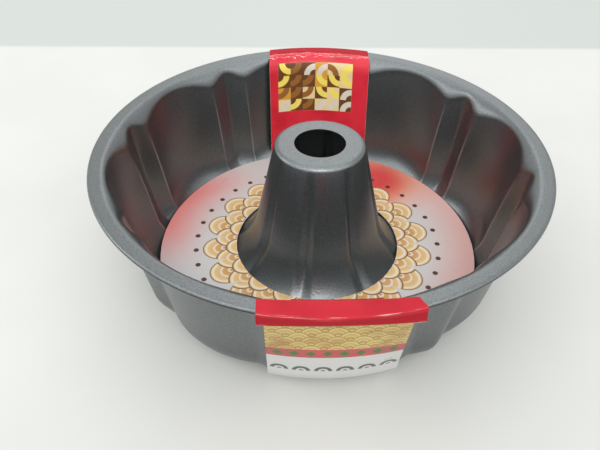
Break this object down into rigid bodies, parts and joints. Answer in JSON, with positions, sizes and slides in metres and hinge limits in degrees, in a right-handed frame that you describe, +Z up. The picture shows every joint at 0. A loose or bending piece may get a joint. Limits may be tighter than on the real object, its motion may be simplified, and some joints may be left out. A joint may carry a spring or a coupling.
{
  "type": "fluted ring cake pan",
  "caption": "Deep fluted ring cake pan with a centre tube, a card ring lying in its trough and a creased card sleeve folded over the rim.",
  "frame": {"origin": "on the pan's axis, on the underside of the card under the base", "axes": "+Z up along the pan's axis, -Y towards the front of the sleeve"},
  "size_m": [0.26, 0.262, 0.0871],
  "materials": {
    "coated_steel": "dark grey non-stick coating, satin, with a soft metallic sheen",
    "printed_card": "printed and gloss varnished",
    "red_card": "printed red and gloss varnished",
    "white_card": "uncoated white"
  },
  "bodies": {
    "pan": {"pan_body": "coated_steel", "sleeve_base_panel": "white_card", "sleeve_front_wall_panel": "printed_card", "sleeve_front_lip": "red_card", "sleeve_back_wall_panel": "printed_card", "sleeve_back_lip": "red_card"},
    "floor_card": {"floor_card": "printed_card"},
    "front_rim_panel": {"sleeve_front_rim_panel": "red_card"},
    "front_flap": {"sleeve_front_flap": "red_card"},
    "back_rim_panel": {"sleeve_back_rim_panel": "red_card"},
    "back_flap": {"sleeve_back_flap": "red_card"}
  },
  "joints": [
    {"name": "floor_card_lift", "type": "slide", "parent": "pan", "child": "floor_card", "axis": [0, 0, 1], "range_m": [0, 0.1]},
    {"name": "front_rim_hinge", "type": "hinge", "parent": "pan", "child": "front_rim_panel", "pos_m": [0.01177, -0.13008, 0.08685], "axis": [0.9983, 0.0588, 0], "range_deg": [0, 150]},
    {"name": "front_flap_hinge", "type": "hinge", "parent": "front_rim_panel", "child": "front_flap", "pos_m": [0.01126, -0.12155, 0.08585], "axis": [0.9983, 0.0588, 0], "range_deg": [0, 80]},
    {"name": "back_rim_hinge", "type": "hinge", "parent": "pan", "child": "back_rim_panel", "pos_m": [-0.00358, 0.13056, 0.08685], "axis": [-0.9983, -0.0588, 0], "range_deg": [0, 150]},
    {"name": "back_flap_hinge", "type": "hinge", "parent": "back_rim_panel", "child": "back_flap", "pos_m": [-0.00308, 0.12203, 0.08585], "axis": [-0.9983, -0.0588, 0], "range_deg": [0, 80]}
  ]
}
